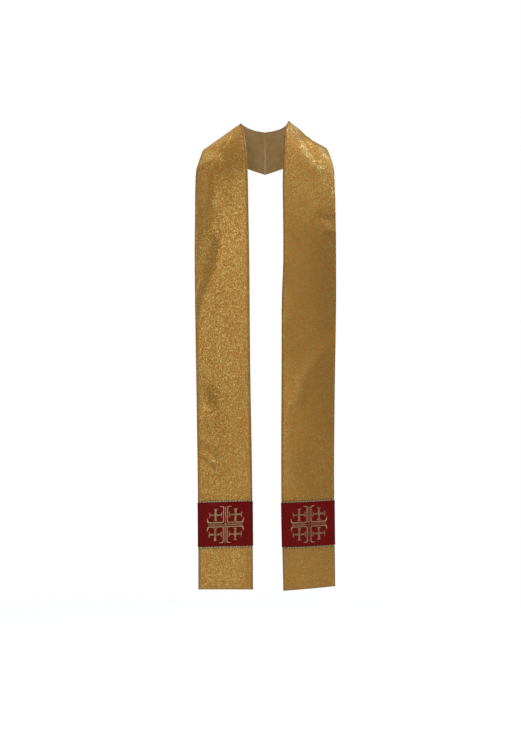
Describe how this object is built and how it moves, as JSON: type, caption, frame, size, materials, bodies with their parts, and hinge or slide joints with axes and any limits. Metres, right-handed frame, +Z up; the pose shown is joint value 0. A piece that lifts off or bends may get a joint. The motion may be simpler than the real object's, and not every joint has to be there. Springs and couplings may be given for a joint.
{
  "type": "priest's stole",
  "caption": "Priest's stole worn round the neck: long cloth bands mitred at the centre back hang down the front, each with an embroidered panel between cords above its hem.",
  "frame": {"origin": "on the axis of the neck opening, level with the top of the centre-back seam", "axes": "+Z up, the front faces -Y, +X towards the wearer's left"},
  "size_m": [0.3563, 0.2244, 1.1919],
  "materials": {
    "gold_cloth": "crinkled metallic weave with a fine glitter, satin on the reverse",
    "red_cloth": "smooth matt weave",
    "gold_thread": "twisted and laid metallic thread, dull gold"
  },
  "bodies": {
    "root": {"right_band": "gold_cloth", "right_panel": "red_cloth", "right_lower_cord": "gold_thread", "right_upper_cord": "gold_thread", "left_band": "gold_cloth", "left_panel": "red_cloth", "left_lower_cord": "gold_thread", "left_upper_cord": "gold_thread"}
  },
  "joints": []
}
